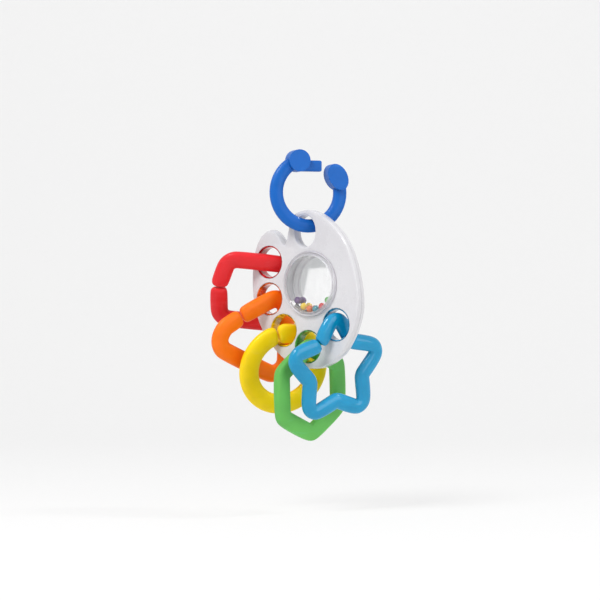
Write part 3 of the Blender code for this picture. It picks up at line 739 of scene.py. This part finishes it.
class RATTLE_OT_ring(bpy.types.Operator):
    """Finish the hanging ring"""

    bl_idname = "rattle.ring"
    bl_label = "Hanging ring"

    def execute(self, context):
        plastic = moulded_plastic("ring_plastic", colour_of("ring"), RING_FINISH)
        moulded("hanger_ring", "hanging_ring", "hanger", plastic)
        return {"FINISHED"}


def look_at(obj, place, target):
    obj.location = place
    obj.rotation_euler = (target - place).to_track_quat("-Z", "Y").to_euler()


def soft_lamp(name, place, target, size, power):
    lamp = bpy.data.lights.new(name, "AREA")
    lamp.shape = "SQUARE"
    lamp.size = size
    lamp.energy = power
    look_at(mesh_object(name, lamp), place, target)


def paper_colour(look, colour, deep_share):
    """The paper's fibres, and its colour with them in it."""
    fibre = look.noise(**FIBRE)
    return fibre, look.mix(fibre.between(*FIBRE_FADE), shaded(colour, deep_share), opaque(colour))


def stage_paper(name, colour, glow):
    """Matt paper with the faintest fibre, which shows nearly white and still takes the rattle's shadow."""
    look = Look(name)
    fibre, base = paper_colour(look, colour, PAPER_DEEP_SHARE)
    sockets = {"Base Color": base, "Roughness": PAPER_ROUGHNESS, "Normal": look.bump(fibre, *FIBRE_RELIEF)}
    paper = look.node("ShaderNodeBsdfPrincipled", {}, sockets)
    white = look.node("ShaderNodeEmission", {}, {"Color": opaque(WHITE), "Strength": 1.0})
    return look.close(look.node("ShaderNodeMixShader", {}, {0: look.seen() * glow, 1: paper, 2: white}))


def room(name, strength):
    """Even light from all round, which shows as plain white."""
    look = Look(name, world=True)
    shown = look.seen() * (1.0 - strength) + strength
    return look.close(look.node("ShaderNodeBackground", {}, {"Color": opaque(WHITE), "Strength": shown}))


def grey_card(name, corner, facing, reach, slant, colour):
    """A grey card with a square corner cut out of it, so that the mirror shows plain white with grey beside it."""
    look = Look(name)
    _, base = paper_colour(look, colour, CARD_DEEP_SHARE)
    paper = {"Base Color": base, "Roughness": PAPER_ROUGHNESS}
    finish = look.close(look.node("ShaderNodeBsdfPrincipled", {}, paper))
    side = Vector((facing.y, -facing.x, 0)).normalized()
    places = ((reach * slant, -reach), (reach, -reach), (reach, reach), (-reach, reach), (-reach, 0), (0, 0))
    shape = bmesh.new()
    shape.faces.new([shape.verts.new(corner + side * x + UP * z) for x, z in places])
    mesh = built_mesh(name, shape)
    mesh.materials.append(finish)
    mesh_object(name, mesh)


def stage_sheet(name, reach, floor, material):
    """One sheet that is the floor and curves up behind the rattle, square to the camera's view."""
    flat = reach * FLAT_SHARE
    bend = reach * BEND_SHARE
    profile = [(-reach, floor)]
    for step in range(BEND_STEPS + 1):
        angle = math.pi / 2 * step / BEND_STEPS
        profile.append((flat + bend * math.sin(angle), floor + bend * (1 - math.cos(angle))))
    profile.append((flat + bend, floor + reach))
    shape = bmesh.new()
    rows = []
    for depth, height in profile:
        rows.append([shape.verts.new(ACROSS * side * reach + AWAY * depth + UP * height) for side in (-1, 1)])
    for lower, upper in zip(rows, rows[1:]):
        shape.faces.new((lower[0], lower[1], upper[1], upper[0]))
    mesh = built_mesh(name, shape)
    mesh.shade_smooth()
    mesh.materials.append(material)
    mesh_object(name, mesh)


class RATTLE_OT_stage(bpy.types.Operator):
    """Set up the floor, the lights and the camera"""

    bl_idname = "rattle.stage"
    bl_label = "Stage"

    def execute(self, context):
        size = context.scene.rattle_sizes
        target = ACROSS * AIM_ACROSS - UP * AIM_DOWN
        paper = stage_paper("stage_paper", colour_of("stage"), size.backdrop_glow)
        stage_sheet("floor_and_backdrop", size.stage_reach, LOWEST.z - size.floor_drop, paper)

        low, high = (Vector(corner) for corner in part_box("mirror_disc"))
        leftward = Vector((CARD_WAY.y, -CARD_WAY.x, 0))
        corner = (low + high) / 2 + CARD_WAY * CARD_DISTANCE + leftward * CARD_LEFT + UP * CARD_RISE
        grey_card("grey_card", corner, CARD_WAY, CARD_REACH, CARD_SLANT, colour_of("card"))

        camera = bpy.data.cameras.new("camera")
        camera.sensor_width = SENSOR_WIDTH
        camera.lens = SENSOR_WIDTH * size.camera_distance / FRAME_WIDTH
        camera.clip_end = CAMERA_FAR
        viewer = mesh_object("camera", camera)
        look_at(viewer, target - AWAY * size.camera_distance, target)
        context.scene.camera = viewer

        for name, ((right, back, rise), lamp_size, power) in LAMPS.items():
            place = target + ACROSS * right + AWAY * back + UP * rise
            soft_lamp(name, place, target, lamp_size, getattr(size, power))
        context.scene.world = room("room", size.room_strength)
        context.scene.view_settings.view_transform = "Standard"
        return {"FINISHED"}


PIECE_OPERATORS = (
    RATTLE_OT_palette,
    RATTLE_OT_screws,
    RATTLE_OT_window,
    RATTLE_OT_beads,
    RATTLE_OT_links,
    RATTLE_OT_liners,
    RATTLE_OT_ring,
    RATTLE_OT_stage,
)


class RATTLE_PT_panel(bpy.types.Panel):
    """The rattle's pieces, colours and sizes"""

    bl_idname = "RATTLE_PT_panel"
    bl_label = "Teething rattle"
    bl_space_type = "VIEW_3D"
    bl_region_type = "UI"
    bl_category = "Rattle"

    def draw(self, context):
        layout = self.layout
        for group in (context.scene.rattle_colours, context.scene.rattle_sizes):
            for name in group.bl_rna.properties.keys():
                if name not in ("rna_type", "name"):
                    layout.prop(group, name)
        for operator in PIECE_OPERATORS:
            layout.operator(operator.bl_idname)


CLASSES = (RattleColours, RattleSizes, *PIECE_OPERATORS, RATTLE_PT_panel)


def register():
    for item in CLASSES:
        bpy.utils.register_class(item)
    bpy.types.Scene.rattle_colours = bpy.props.PointerProperty(type=RattleColours)
    bpy.types.Scene.rattle_sizes = bpy.props.PointerProperty(type=RattleSizes)


def unregister():
    del bpy.types.Scene.rattle_sizes
    del bpy.types.Scene.rattle_colours
    for item in reversed(CLASSES):
        bpy.utils.unregister_class(item)


def main():
    register()
    bpy.ops.rattle.palette()
    bpy.ops.rattle.screws()
    bpy.ops.rattle.window()
    bpy.ops.rattle.beads()
    bpy.ops.rattle.links()
    bpy.ops.rattle.liners()
    bpy.ops.rattle.ring()
    bpy.ops.rattle.stage()


if __name__ == "__main__":
    main()
